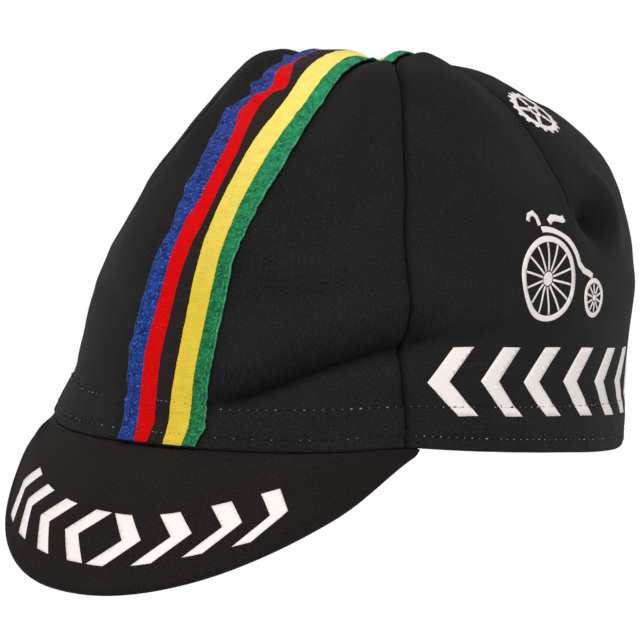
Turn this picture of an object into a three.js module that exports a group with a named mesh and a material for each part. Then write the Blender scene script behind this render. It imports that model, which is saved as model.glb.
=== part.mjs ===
// A cotton cycling cap in the shape it has when worn: four sewn crown panels, a striped ribbon
// that runs over the crown from front to back, and a short curved peak.
// Millimetres, +Z up. The peak points to -Y and the wearer's left is +X. The origin is the middle
// of the head opening, in the plane of the rim. Azimuths are in degrees from the front.
import * as THREE from 'three';

// Driving sizes
const RIM_LENGTH = 190; // head opening, front to back, over the cloth
const RIM_WIDTH = 158; // head opening, side to side, over the cloth
const CROWN_HEIGHT = 110; // rim to the top of the fullest panel
const REAR_DROP = 5.5; // how far the rim dips behind the ears
const CLOTH = 1.3; // panel cloth with its turned seams
const BELLY_DEPTH = 4.5; // how far a panel bellies out between its seams
const FOLD_DEPTH = 3.6; // depth of the deepest fold
const GATHER_DEPTH = 1.3; // waves of the elastic hem at the back
const SEAM_GAP = 0.3; // clearance between neighbouring pieces
const CROWN_EYE = 1.6; // radius at the very top where the four panels stop, under the ribbon

const RIBBON_WIDTH = 30;
const RIBBON_CLOTH = 1.0;
const RIBBON_LIFT = 0.6; // clearance between the ribbon and the panels under it
const RIBBON_SAG = 0.8; // how far the ribbon dips where it bridges the dimple
const RIBBON_INSET = 2.0; // ribbon end to the rim

const PEAK_LENGTH = 54; // middle of the rim to the peak's front edge
const PEAK_CORNER = 2.5; // length that is left where the peak ends at the rim
const PEAK_CLOTH = 2.2; // two layers of cloth over a stiff card
const PEAK_SLOPE = 42; // degrees below level
const PEAK_REACH = 54; // azimuth at which the peak ends, on either side
const PEAK_ROUNDNESS = 2.15; // power of the front edge's outline
const PEAK_CROWNING = 1.2; // how far the peak arches between rim and edge

const DIP_START = 70; // azimuth from which the rim dips towards the back
const DIP_FULL = 130; // azimuth at which it has dipped by REAR_DROP
const SIDE_SEAM = 50; // azimuth of the side seams
const DART = 96; // azimuth of the dart in each rear panel
const DART_END = 0.48; // level at which the dart ends
const BRIDGE_LEVEL = 0.82; // level from which the ribbon bridges the dimple at the top
const GATHER_START = 124; // azimuth where the elastic begins
const GATHER_END = 168; // azimuth where the ribbon holds the hem flat
const GATHERS = 4; // waves in each rear panel

// Level sections of the crown from the rim to the dimple at the top. The rise is a share of
// CROWN_HEIGHT, front and back are shares of half of RIM_LENGTH, side a share of half of RIM_WIDTH.
const SECTIONS = [
  { rise: 0.000, front: 1.000, back: 1.000, side: 1.000 },
  { rise: 0.060, front: 0.985, back: 0.995, side: 0.970 },
  { rise: 0.120, front: 0.965, back: 1.015, side: 0.940 },
  { rise: 0.225, front: 0.920, back: 1.070, side: 0.905 },
  { rise: 0.350, front: 0.870, back: 1.130, side: 0.885 },
  { rise: 0.470, front: 0.820, back: 1.140, side: 0.850 },
  { rise: 0.550, front: 0.765, back: 1.125, side: 0.810 },
  { rise: 0.630, front: 0.690, back: 1.085, side: 0.765 },
  { rise: 0.710, front: 0.600, back: 1.010, side: 0.700 },
  { rise: 0.790, front: 0.495, back: 0.885, side: 0.620 },
  { rise: 0.860, front: 0.380, back: 0.720, side: 0.540 },
  { rise: 0.905, front: 0.270, back: 0.560, side: 0.445 },
  { rise: 0.928, front: 0.130, back: 0.410, side: 0.320 },
  { rise: 0.928, front: -0.050, back: 0.300, side: 0.180 },
  { rise: 0.900, front: -0.200, back: 0.200, side: 0.000 },
];

// Folds that run round each side of the crown, from one azimuth to another and from one rise to
// another, steeper at first. Depth and lip are shares of FOLD_DEPTH, width a share of CROWN_HEIGHT.
const FOLDS = [
  { name: 'overhang', from: 14, to: 92, low: 0.10, high: 0.315, width: 0.045, depth: 1.0, lip: 0.55 },
  { name: 'temple', from: 10, to: 48, low: 0.35, high: 0.400, width: 0.050, depth: 0.35, lip: 0.15 },
];

// Soft hollows, and with a negative depth humps, on each side of the crown. Spread is in degrees,
// rise and tall are shares of CROWN_HEIGHT, depth is a share of FOLD_DEPTH.
const DENTS = [
  { name: 'front trough', azimuth: 40, spread: 5, rise: 0.72, tall: 0.17, depth: 0.40 },
  { name: 'front shoulder', azimuth: 26, spread: 16, rise: 0.93, tall: 0.12, depth: -0.75 },
  { name: 'dart pocket', azimuth: 105, spread: 6, rise: 0.57, tall: 0.05, depth: 1.00 },
  { name: 'dart ridge', azimuth: 114, spread: 5, rise: 0.62, tall: 0.08, depth: -0.55 },
  { name: 'rear crease', azimuth: 82, spread: 4, rise: 0.40, tall: 0.05, depth: 0.35 },
];

// How finely the pieces are divided
const PANEL_ROWS = 24;
const TOP_CROWDING = 1.25; // power that draws the rows together towards the top
const PANEL_STEP = 5.2; // degrees between the columns of a panel
const GATHER_STEP = 3.1; // degrees between the columns where the hem is gathered
const RIBBON_STEPS = 24; // from the rim to the bridge over the dimple
const BRIDGE_STEPS = 10;
const RIBBON_COLUMNS = 6;
const PEAK_ROWS = 7;
const PEAK_STEP = 4;

const CLOTH_BLACK = { color: 0x242222, roughness: 0.92, metalness: 0 };
const RIBBON_RED = { color: 0xc21a22, roughness: 0.75, metalness: 0 };

const radians = THREE.MathUtils.degToRad;
const smooth = (from, to, value) => THREE.MathUtils.smoothstep(value, from, to);

// Half turns either side of the front, so that the left and right halves mirror each other.
function sideAngle(azimuth) {
  return Math.abs(THREE.MathUtils.euclideanModulo(azimuth + 180, 360) - 180);
}

// One measure of the crown's section at a level between 0, the rim, and 1, the top.
function section(level, measure) {
  const last = SECTIONS.length - 1;
  const place = THREE.MathUtils.clamp(level, 0, 1) * last;
  const row = Math.min(Math.floor(place), last - 1);
  const value = (index) => SECTIONS[index][measure];
  const before = row > 0 ? value(row - 1) : 2 * value(0) - value(1);
  const after = row + 2 <= last ? value(row + 2) : 2 * value(last) - value(last - 1);
  const t = place - row;
  const start = value(row);
  const end = value(row + 1);
  const slope = end - before;
  const bend = 2 * before - 5 * start + 4 * end - after;
  const turn = 3 * start - before - 3 * end + after;
  return start + 0.5 * (slope * t + bend * t * t + turn * t * t * t);
}

function levelOval(level) {
  const front = section(level, 'front') * RIM_LENGTH / 2;
  const back = section(level, 'back') * RIM_LENGTH / 2;
  return { middle: (back - front) / 2, half: (back + front) / 2, side: section(level, 'side') * RIM_WIDTH / 2 };
}

// The crown without its seams and folds.
function smoothCrown(azimuth, level) {
  const oval = levelOval(level);
  const angle = radians(azimuth);
  const dip = REAR_DROP * smooth(DIP_START, DIP_FULL, sideAngle(azimuth)) * (1 - smooth(0, 0.45, level));
  return new THREE.Vector3(
    oval.side * Math.sin(angle),
    oval.middle - oval.half * Math.cos(angle),
    section(level, 'rise') * CROWN_HEIGHT - dip,
  );
}

function crownNormal(azimuth, level) {
  const step = 0.004;
  const turn = 0.2;
  const round = smoothCrown(azimuth + turn, level).sub(smoothCrown(azimuth - turn, level));
  const upper = smoothCrown(azimuth, Math.min(level + step, 1));
  const up = upper.sub(smoothCrown(azimuth, Math.max(level - step, 0)));
  const outward = round.cross(up).normalize();
  const top = smooth(0.93, 0.99, level);
  return outward.lerp(new THREE.Vector3(0, 0, 1), top).normalize();
}

const hump = (value, from, to) => Math.sin(Math.PI * THREE.MathUtils.clamp((value - from) / (to - from), 0, 1)) ** 1.3;
const bell = (distance) => Math.exp(-distance * distance);

// How far each panel bellies out between its seams and its dart.
function panelRelief(side, level) {
  const full = smooth(0.10, 0.40, level) * (1 - smooth(0.86, 0.96, level));
  if (side < SIDE_SEAM) return BELLY_DEPTH * full * hump(side, 0, SIDE_SEAM) * (0.5 + 0.5 * smooth(0.5, 0.85, level));
  const split = smooth(DART_END - 0.06, DART_END + 0.12, level);
  const whole = 0.4 * hump(side, SIDE_SEAM, 180);
  const halves = 0.6 * (hump(side, SIDE_SEAM, DART) + hump(side, DART, 180));
  return BELLY_DEPTH * full * (whole * (1 - split) + halves * split);
}

function foldRelief(side, rise) {
  let relief = 0;
  for (const fold of FOLDS) {
    const along = THREE.MathUtils.clamp((side - fold.from) / (fold.to - fold.from), 0, 1);
    const line = fold.low + (fold.high - fold.low) * (1 - (1 - along) ** 2);
    const above = (rise - line) / fold.width;
    const strength = FOLD_DEPTH * Math.sin(Math.PI * along);
    relief += strength * (fold.lip * bell((above - 1.9) / 1.4) - fold.depth * bell(above));
  }
  for (const dent of DENTS) {
    const spread = (side - dent.azimuth) / dent.spread;
    relief -= FOLD_DEPTH * dent.depth * bell(spread) * bell((rise - dent.rise) / dent.tall);
  }
  return relief;
}

function gatherRelief(side, level) {
  const along = THREE.MathUtils.clamp((side - GATHER_START) / (GATHER_END - GATHER_START), 0, 1);
  const strength = smooth(0, 0.2, along) * (1 - smooth(0.8, 1, along)) * (1 - smooth(0.05, 0.3, level));
  return GATHER_DEPTH * strength * Math.sin(2 * Math.PI * GATHERS * along);
}

// A point on the crown's outer face, or further out by lift.
function crown(azimuth, level, lift = 0) {
  const side = sideAngle(azimuth);
  const rise = section(level, 'rise');
  const folds = foldRelief(side, rise) * smooth(0, 0.08, level) * (1 - smooth(0.84, 0.94, level));
  const relief = panelRelief(side, level) + folds + gatherRelief(side, level);
  return smoothCrown(azimuth, level).addScaledVector(crownNormal(azimuth, level), relief + lift);
}

// A closed sheet between an outer and an inner face, both grids of the same columns and rows.
// The diagonals of the columns in the mirrored range run the other way, so that halves match.
function sheet(columns, rows, point, mirroredFrom = columns) {
  const wide = columns + 1;
  const layer = wide * (rows + 1);
  const positions = [];
  for (const face of [1, 0]) {
    for (let row = 0; row <= rows; row += 1) {
      for (let column = 0; column <= columns; column += 1) {
        positions.push(...point(column, row, face).toArray());
      }
    }
  }
  const triangles = [];
  const quad = (a, b, c, d, mirrored = false) => {
    if (mirrored) triangles.push(a, b, c, a, c, d);
    else triangles.push(a, b, d, b, c, d);
  };
  const outer = (column, row) => row * wide + column;
  const inner = (column, row) => layer + row * wide + column;
  for (let row = 0; row < rows; row += 1) {
    for (let column = 0; column < columns; column += 1) {
      const [next, above, flip] = [column + 1, row + 1, column >= mirroredFrom];
      quad(outer(column, row), outer(next, row), outer(next, above), outer(column, above), flip);
      quad(inner(column, row), inner(column, above), inner(next, above), inner(next, row), flip);
    }
    quad(inner(0, row), outer(0, row), outer(0, row + 1), inner(0, row + 1));
    quad(outer(columns, row), inner(columns, row), inner(columns, row + 1), outer(columns, row + 1));
  }
  for (let column = 0; column < columns; column += 1) {
    quad(inner(column, 0), inner(column + 1, 0), outer(column + 1, 0), outer(column, 0));
    quad(outer(column, rows), outer(column + 1, rows), inner(column + 1, rows), inner(column, rows));
  }
  const geometry = new THREE.BufferGeometry();
  geometry.setAttribute('position', new THREE.Float32BufferAttribute(positions, 3));
  geometry.setIndex(triangles);
  geometry.computeVertexNormals();
  return geometry;
}

function piece(name, geometry, finish) {
  const mesh = new THREE.Mesh(geometry, new THREE.MeshStandardMaterial(finish));
  mesh.name = name;
  return mesh;
}

// The level at which the open eye at the top begins.
function eyeLevel() {
  let low = 0.9;
  let high = 1;
  for (let i = 0; i < 30; i += 1) {
    const level = (low + high) / 2;
    if (levelOval(level).side > CROWN_EYE) low = level;
    else high = level;
  }
  return low;
}

// The columns of a panel, closer together where the hem is gathered.
function panelColumns(from, to) {
  const columns = [];
  const plainEnd = Math.min(to, GATHER_START);
  const plain = Math.ceil((plainEnd - from) / PANEL_STEP);
  for (let i = 0; i <= plain; i += 1) columns.push(from + (plainEnd - from) * i / plain);
  if (to > GATHER_START) {
    const gathered = Math.ceil((to - GATHER_START) / GATHER_STEP);
    for (let i = 1; i <= gathered; i += 1) columns.push(GATHER_START + (to - GATHER_START) * i / gathered);
  }
  return columns;
}

// A crown panel between two seams. Turning is 1 for the wearer's left and -1 for the right.
function panel(name, from, to, turning) {
  const columns = panelColumns(from, to);
  const last = columns.length - 1;
  const top = eyeLevel();
  const geometry = sheet(last, PANEL_ROWS, (column, row, face) => {
    const level = top * (1 - (1 - row / PANEL_ROWS) ** TOP_CROWDING);
    const index = turning > 0 ? column : last - column;
    const reach = smoothCrown(columns[index] + 1, level).distanceTo(smoothCrown(columns[index], level));
    const inset = SEAM_GAP / 2 / reach;
    const azimuth = THREE.MathUtils.clamp(columns[index], from + inset, to - inset);
    return crown(turning * azimuth, level, face ? 0 : -CLOTH);
  }, turning > 0 ? last : 0);
  return piece(name, geometry, CLOTH_BLACK);
}

// The azimuth and level of the crown at a place in plan, found from the ovals near the top.
function levelAt(x, y) {
  let low = 0.4;
  let high = 1;
  for (let i = 0; i < 40; i += 1) {
    const level = (low + high) / 2;
    const oval = levelOval(level);
    if (Math.hypot(x / oval.side, (y - oval.middle) / oval.half) < 1) low = level;
    else high = level;
  }
  const oval = levelOval(low);
  return { azimuth: Math.atan2(x / oval.side, (oval.middle - y) / oval.half), level: low };
}

// A point of the ribbon beside the middle line by x, at a level in front of or behind the top.
function ribbonPoint(x, level, behind, lift) {
  const oval = levelOval(level);
  const slant = Math.asin(THREE.MathUtils.clamp(x / oval.side, -1, 1));
  const blend = smooth(0.50, 0.64, level);
  let azimuth = behind ? Math.PI - slant : slant;
  let place = level;
  if (blend > 0) {
    const y = behind ? oval.middle + oval.half : oval.middle - oval.half;
    const plan = levelAt(x, y);
    const turned = behind && plan.azimuth < 0 ? plan.azimuth + 2 * Math.PI : plan.azimuth;
    azimuth = THREE.MathUtils.lerp(azimuth, turned, blend);
    place = THREE.MathUtils.lerp(level, plan.level, blend);
  }
  return crown(THREE.MathUtils.radToDeg(azimuth), place, lift);
}

// Over the dimple the ribbon is drawn across in one curve, which leaves the crown at both ends.
function bridgePoint(x, along, lift) {
  const step = 0.01;
  const start = ribbonPoint(x, BRIDGE_LEVEL, false, lift);
  const end = ribbonPoint(x, BRIDGE_LEVEL, true, lift);
  const reach = start.distanceTo(end);
  const before = ribbonPoint(x, BRIDGE_LEVEL - step, false, lift);
  const after = ribbonPoint(x, BRIDGE_LEVEL - step, true, lift);
  const leave = start.clone().sub(before).normalize().multiplyScalar(reach / 3).add(start);
  const arrive = end.clone().sub(after).normalize().multiplyScalar(reach / 3).add(end);
  const point = new THREE.CubicBezierCurve3(start, leave, arrive, end).getPoint(along);
  point.z -= RIBBON_SAG * Math.sin(Math.PI * along) ** 2;
  return point;
}

function ribbon() {
  const rim = RIBBON_INSET / (SECTIONS[1].rise * CROWN_HEIGHT) / (SECTIONS.length - 1);
  const rows = 2 * RIBBON_STEPS + BRIDGE_STEPS;
  const geometry = sheet(RIBBON_COLUMNS, rows, (column, row, face) => {
    const x = RIBBON_WIDTH * (column / RIBBON_COLUMNS - 0.5);
    const lift = RIBBON_LIFT + (face ? RIBBON_CLOTH : 0);
    const bridged = row - RIBBON_STEPS;
    if (bridged > 0 && bridged < BRIDGE_STEPS) return bridgePoint(x, bridged / BRIDGE_STEPS, lift);
    const climb = (bridged <= 0 ? row : rows - row) / RIBBON_STEPS;
    return ribbonPoint(x, rim + (BRIDGE_LEVEL - rim) * climb, bridged > 0, lift);
  }, RIBBON_COLUMNS / 2);
  return piece('ribbon', geometry, RIBBON_RED);
}

// The peak is ruled: every line on it runs forward and down from the rim at the same slope.
function peak() {
  const columns = Math.round(2 * PEAK_REACH / PEAK_STEP);
  const forward = new THREE.Vector3(0, -Math.cos(radians(PEAK_SLOPE)), -Math.sin(radians(PEAK_SLOPE)));
  const geometry = sheet(columns, PEAK_ROWS, (column, row, face) => {
    const azimuth = PEAK_REACH * (2 * column / columns - 1);
    const root = smoothCrown(azimuth, 0);
    root.z -= SEAM_GAP;
    const tangent = smoothCrown(azimuth + 0.5, 0).sub(smoothCrown(azimuth - 0.5, 0));
    const outward = forward.clone().cross(tangent).normalize();
    const share = 1 - Math.abs(azimuth / PEAK_REACH) ** PEAK_ROUNDNESS;
    const length = PEAK_CORNER + (PEAK_LENGTH - PEAK_CORNER) * share;
    const along = 1 - row / PEAK_ROWS;
    const arch = 4 * PEAK_CROWNING * along * (1 - along) * share;
    root.addScaledVector(forward, length * along);
    return root.addScaledVector(outward, arch - (face ? 0 : PEAK_CLOTH));
  }, columns / 2);
  return piece('peak', geometry, CLOTH_BLACK);
}

const cap = new THREE.Group();
cap.add(panel('front_left_panel', 0, SIDE_SEAM, 1));
cap.add(panel('front_right_panel', 0, SIDE_SEAM, -1));
cap.add(panel('rear_left_panel', SIDE_SEAM, 180, 1));
cap.add(panel('rear_right_panel', SIDE_SEAM, 180, -1));
cap.add(ribbon());
cap.add(peak());

export default cap;
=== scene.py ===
import math

import bmesh
import bpy
import numpy as np
from mathutils import Matrix, Vector
from mathutils.geometry import tessellate_polygon


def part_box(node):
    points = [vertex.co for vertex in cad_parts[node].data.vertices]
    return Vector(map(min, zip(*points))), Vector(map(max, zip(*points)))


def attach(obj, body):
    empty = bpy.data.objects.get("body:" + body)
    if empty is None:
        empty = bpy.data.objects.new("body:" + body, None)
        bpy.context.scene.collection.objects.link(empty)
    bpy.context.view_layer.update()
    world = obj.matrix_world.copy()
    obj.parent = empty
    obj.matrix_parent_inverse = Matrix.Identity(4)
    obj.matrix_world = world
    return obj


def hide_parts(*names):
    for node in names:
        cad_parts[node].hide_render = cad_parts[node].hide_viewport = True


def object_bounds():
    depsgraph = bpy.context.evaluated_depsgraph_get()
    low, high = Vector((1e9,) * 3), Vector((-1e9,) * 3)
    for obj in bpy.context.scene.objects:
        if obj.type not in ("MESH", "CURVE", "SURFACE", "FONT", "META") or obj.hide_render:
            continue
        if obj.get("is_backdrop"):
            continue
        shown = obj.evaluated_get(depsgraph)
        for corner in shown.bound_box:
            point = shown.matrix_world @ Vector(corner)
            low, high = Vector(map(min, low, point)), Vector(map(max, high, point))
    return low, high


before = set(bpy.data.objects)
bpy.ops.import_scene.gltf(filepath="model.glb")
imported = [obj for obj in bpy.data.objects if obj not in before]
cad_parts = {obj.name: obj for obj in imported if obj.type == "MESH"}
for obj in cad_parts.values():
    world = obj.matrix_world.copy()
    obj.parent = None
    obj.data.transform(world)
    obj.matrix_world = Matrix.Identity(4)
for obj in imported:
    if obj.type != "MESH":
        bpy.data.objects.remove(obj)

CAD_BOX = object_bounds()
MM = 0.001

# Sizes of the crown, the first two read off the frame
RIM_LENGTH = -2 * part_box("front_left_panel")[0][1] / MM
RIM_WIDTH = 2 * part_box("rear_left_panel")[1][0] / MM
CROWN_HEIGHT = 110.0
REAR_DROP = 5.5
DIP_START = 70.0
DIP_FULL = 130.0
DIP_FADE = 0.45
CLOTH = 1.2
BELLY_DEPTH = 4.5
FOLD_DEPTH = 3.6
GATHER_DEPTH = 1.3
SEAM_GAP = 0.2
CROWN_EYE = 1.6
SIDE_SEAM = 50.0
DART = 96.0
DART_END = 0.445
GATHER_START = 124.0
GATHER_END = 168.0
GATHERS = 4

# Level sections of the crown. In order: rise as a share of CROWN_HEIGHT, front and back as shares
# of half of RIM_LENGTH, side as a share of half of RIM_WIDTH, and how much further the crown rises
# at the front and at the back, again as shares of CROWN_HEIGHT.
SECTIONS = np.array([
    (0.000, 1.000, 1.000, 1.000, 0.000, 0.000),
    (0.060, 0.978, 1.036, 0.974, 0.000, 0.000),
    (0.120, 0.964, 1.058, 0.946, 0.000, 0.000),
    (0.225, 0.930, 1.094, 0.917, 0.000, 0.000),
    (0.350, 0.876, 1.148, 0.892, 0.000, 0.000),
    (0.470, 0.820, 1.150, 0.850, 0.000, 0.000),
    (0.550, 0.765, 1.130, 0.810, 0.000, 0.000),
    (0.630, 0.690, 1.085, 0.765, 0.000, 0.000),
    (0.710, 0.600, 1.010, 0.700, 0.003, 0.000),
    (0.790, 0.495, 0.885, 0.620, 0.012, 0.000),
    (0.860, 0.380, 0.720, 0.540, 0.020, 0.000),
    (0.905, 0.270, 0.560, 0.445, 0.038, 0.004),
    (0.928, 0.130, 0.410, 0.320, 0.054, 0.022),
    (0.928, -0.050, 0.300, 0.180, 0.056, 0.050),
    (0.900, -0.200, 0.200, 0.000, 0.080, 0.080),
])

# The fold that the crown slumps into above the hem, on the wearer's left and right: where it runs,
# with rises as shares of CROWN_HEIGHT, and how strong it is. Then its widths above and below the
# crease as shares of CROWN_HEIGHT, and its crease, lip and overhang as shares of FOLD_DEPTH.
FOLD_PATHS = {
    "left": ((8, 0.100, 0.00), (14, 0.128, 0.75), (22, 0.168, 0.98), (32, 0.224, 1.00), (42, 0.268, 1.00),
             (50, 0.290, 0.90), (58, 0.298, 0.45), (72, 0.303, 0.28), (88, 0.310, 0.00)),
    "right": ((8, 0.100, 0.00), (20, 0.120, 0.22), (40, 0.135, 0.14), (62, 0.140, 0.12), (96, 0.160, 0.00)),
}
FOLD_SHAPE = {"above": 0.042, "below": 0.058, "depth": 1.50, "lip": 0.60, "hang": 0.95}

# A shallow crease higher up in front: azimuths and rises from end to end, width and depth
UPPER_CREASE = {"start": 10, "end": 48, "low": 0.35, "high": 0.40, "width": 0.05, "depth": 0.55}

# Soft hollows, and with a negative depth humps, on each side of the crown.
DENT_COLUMNS = ("azimuth", "spread", "rise", "tall", "depth")
DENTS = (
    (38, 5.0, 0.70, 0.17, 0.65),
    (28, 15.0, 0.93, 0.11, -1.45),
    (102, 4.5, 0.555, 0.055, 1.50),
    (110.5, 3.6, 0.59, 0.085, -0.90),
    (60, 14.0, 0.62, 0.10, -0.25),
    (82, 4.0, 0.40, 0.05, 0.35),
    (58, 14.0, 0.38, 0.09, -0.38),
)

# How far the side seam and the dart stray from their azimuths at some levels, in degrees
WANDER_LEVELS = (0.00, 0.12, 0.25, 0.40, 0.48, 0.55, 0.70, 0.78, 0.85, 0.95, 1.0)
SEAM_WANDER = (1.2, 1.3, 0.2, -1.0, -1.8, -2.2, -2.8, -3.0, -3.2, -2.0, 0.0)
DART_WANDER = (0.0, 0.0, 0.0, 0.0, -2.5, -2.5, -3.5, -4.0, -3.5, -0.5, 0.0)

# Creases and humps that the wearing and the seams pull into the top. In order: place beside and
# behind the rim's middle, the way it runs in degrees from +Y towards -X, how far it reaches along
# and across that way, and its height.
TOP_FORMS = (
    (-1.5, 14.8, 33.5, 22.0, 3.8, -3.9),
    (-26.0, -9.0, 0.0, 8.0, 10.0, 2.4),
    (-26.0, -31.0, 0.0, 8.0, 9.0, -2.8),
    (20.0, 8.0, 0.0, 6.5, 5.5, 2.2),
    (13.5, 1.0, 0.0, 5.0, 4.0, -2.0),
    (11.0, 11.0, 0.0, 4.0, 3.5, 1.1),
    (6.0, 30.0, 0.0, 9.0, 10.0, -2.2),
    (31.0, 51.0, 0.0, 12.0, 12.0, -2.5),
    (-16.0, -10.0, 0.0, 7.0, 4.0, 0.9),
)

# How far the rim rises above its plane, in millimetres, at azimuths from the front to the back
RIM_WAVE_PLACES = (0, 30, 42, 50, 58, 66, 78, 100, 116, 132, 180)
RIM_WAVE = (0.5, 0.6, 1.3, 2.5, 1.4, 0.3, -1.0, -1.4, -1.0, 0.2, 0.0)

# Sewing
SEAM_DEPTH = 1.2
SEAM_WIDTH = 0.65
ALLOWANCE_WIDTH = 5.5
ALLOWANCE_LIFT = 0.3
HEM_TOP = 12.2
HEM_FOOT = 3.4
HEM_LIFT = 0.25
STITCH_PITCH = 2.7
STITCH_LENGTH = 1.9

# Ribbon, its stripes as shares of its width from the wearer's right to the left, each with its
# colour low down and its colour over the top, painted paler there as a painted highlight
RIBBON_WIDTH = 30.0
RIBBON_CLOTH = 0.6
RIBBON_LIFT = 0.35
RIBBON_INSET = 0.35
RIBBON_PULL = 1.2
TOP_LEVEL = 0.65
TOP_SHARE = 0.45
STRIPES = (
    ("blue", 0.20, (26, 54, 124), (40, 54, 126)),
    ("red", 0.18, (200, 0, 0), (208, 0, 6)),
    ("dark", 0.18, (35, 28, 27), (40, 33, 32)),
    ("yellow", 0.24, (214, 187, 60), (238, 219, 112)),
    ("green", 0.20, (26, 104, 60), (34, 128, 84)),
)

STRIPE_BORDERS = np.cumsum([0.0] + [stripe[1] for stripe in STRIPES])

# How strongly each stripe is figured with darker and lighter picks, and where along the ribbon the
# stripes begin to take the painted highlight of the top and are at their palest
STRIPE_FIGURE = (1.0, 0.08, 0.10, 0.12, 0.85)
TOP_LIGHT_START = 40.0
TOP_LIGHT_FULL = 120.0

TWILL_PITCH = 0.66

# The ink over and under the cloth's surface, and the cells that its shapes are cut into
INK_LIFT = 0.10
INK_DEPTH = 0.08
INK_CELL = 1.6

# Where the stripes' borders lie beside the middle line at stations along the ribbon, in
# millimetres: the place along it, then the blue edge, the four borders and the green edge.
STRIPE_LINES = np.array([
    (-1.00, -12.5, -6.5, -1.8, 3.6, 9.5, 13.8),
    (-0.95, -11.8, -6.3, -0.6, 4.0, 10.2, 14.8),
    (-0.88, -11.5, -6.7, -1.0, 3.8, 9.9, 13.7),
    (-0.82, -13.6, -8.0, -2.3, 3.6, 9.6, 14.3),
    (-0.74, -12.8, -7.1, -2.4, 2.7, 9.2, 13.6),
    (-0.67, -10.4, -6.6, -1.3, 2.4, 9.0, 13.8),
    (-0.63, -10.0, -5.8, -0.4, 2.4, 9.1, 14.4),
    (-0.59, -11.6, -5.0, -0.3, 2.3, 9.0, 14.8),
    (-0.50, -13.4, -5.9, -1.0, 2.0, 8.7, 14.7),
    (-0.465, -14.8, -6.8, -2.4, 2.4, 9.0, 14.8),
    (-0.44, -15.6, -9.0, -3.5, 2.9, 9.3, 14.8),
    (-0.412, -16.6, -11.2, -3.7, 3.2, 9.5, 14.4),
    (-0.396, -15.2, -9.4, -3.2, 3.4, 9.5, 14.3),
    (-0.385, -14.4, -5.8, -2.9, 3.3, 9.5, 14.2),
    (-0.376, -13.4, -5.3, -2.4, 3.2, 9.5, 14.2),
    (-0.368, -12.6, -5.0, 0.5, 3.1, 9.4, 14.2),
    (-0.352, -13.4, -5.0, 0.4, 2.9, 9.4, 14.1),
    (-0.337, -14.3, -6.0, -0.5, 2.6, 9.4, 14.1),
    (-0.328, -11.8, -6.5, -1.2, 2.4, 9.3, 14.0),
    (-0.305, -12.5, -7.9, -3.0, 2.2, 9.2, 13.9),
    (-0.285, -12.9, -5.5, -4.7, 1.8, 9.0, 13.9),
    (-0.262, -11.8, -5.2, -4.7, 1.8, 8.9, 13.9),
    (-0.238, -13.2, -5.0, -4.6, 1.8, 8.8, 13.8),
    (-0.226, -10.6, -4.9, -4.5, 1.8, 8.7, 13.8),
    (-0.205, -10.1, -5.0, -4.3, 1.8, 9.6, 13.7),
    (-0.180, -9.9, -5.0, -4.2, 1.8, 11.8, 13.6),
    (-0.150, -10.2, -5.6, -3.6, 1.9, 12.1, 13.5),
    (-0.115, -10.7, -6.3, -2.9, 2.0, 9.4, 13.4),
    (-0.05, -12.2, -7.2, -2.2, 2.2, 8.2, 13.2),
    (0.12, -13.2, -7.8, -2.6, 2.2, 8.8, 14.0),
    (0.50, -12.6, -7.4, -2.0, 2.8, 9.2, 14.2),
    (1.00, -13.4, -7.8, -2.2, 2.6, 9.0, 14.0),
])

# Pinches in the ribbon: place along it, distance beside the middle line, both spreads and height
PINCHES = (
    (-0.625, -7.5, 0.016, 3.0, 1.0),
    (-0.590, -10.5, 0.012, 2.5, -0.5),
    (-0.390, -6.5, 0.013, 3.0, 1.2),
    (-0.365, -11.0, 0.010, 2.5, -0.5),
    (-0.320, -9.5, 0.012, 3.0, 0.9),
    (-0.425, 12.0, 0.007, 2.5, 0.7),
    (-0.412, 12.5, 0.006, 2.5, -0.5),
    (-0.860, -11.0, 0.010, 2.5, 0.6),
    (-0.180, -9.0, 0.020, 3.5, 0.6),
    (-0.406, -15.0, 0.008, 2.0, 0.8),
    (-0.337, -13.5, 0.007, 2.0, 0.8),
    (-0.238, -12.5, 0.008, 2.0, 0.8),
)

# Peak
PEAK_LENGTH = 54.0
PEAK_CORNER = 2.5
PEAK_CLOTH = 2.2
PEAK_SLOPE = 42.0
PEAK_REACH = 54.0
PEAK_ROUNDNESS = 2.15
PEAK_CROWNING = 1.2
PEAK_ROOT_GAP = 0.3
PEAK_TUCK = 3.0
PEAK_TURNED_UP = 5.0
PEAK_TILT = 0.058

# Levels for each millimetre of rise just above the rim
LEVEL_PER_MM = 1 / (SECTIONS[1][0] * CROWN_HEIGHT) / (len(SECTIONS) - 1)

# Camera and floor
CAMERA_AZIMUTH = 33.5
CAMERA_HEIGHT_ANGLE = 6.5
CAMERA_DISTANCE = 1.5
CAMERA_ROLL = 1.5
PIXELS_PER_MM = 3.37
FRAME_PIXELS = 640
RIM_CENTRE_PIXEL = (341, 420)
SENSOR = 36.0
FLOOR_DROP = 0.35


def smooth(start, end, value):
    t = np.clip((value - start) / (end - start), 0, 1)
    return t * t * (3 - 2 * t)


def bell(distance):
    return np.exp(-distance * distance)


def hump(value, start, end):
    return np.sin(math.pi * np.clip((value - start) / (end - start), 0, 1)) ** 1.3


def drawn(value, places, heights, width):
    """Heights of a line through a table's rows, its corners rounded over a width."""
    shifts = np.linspace(-width, width, 5)
    return sum(np.interp(value + shift, places, heights) for shift in shifts) / len(shifts)


def side_angle(azimuth):
    return np.abs((azimuth + 180) % 360 - 180)


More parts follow.
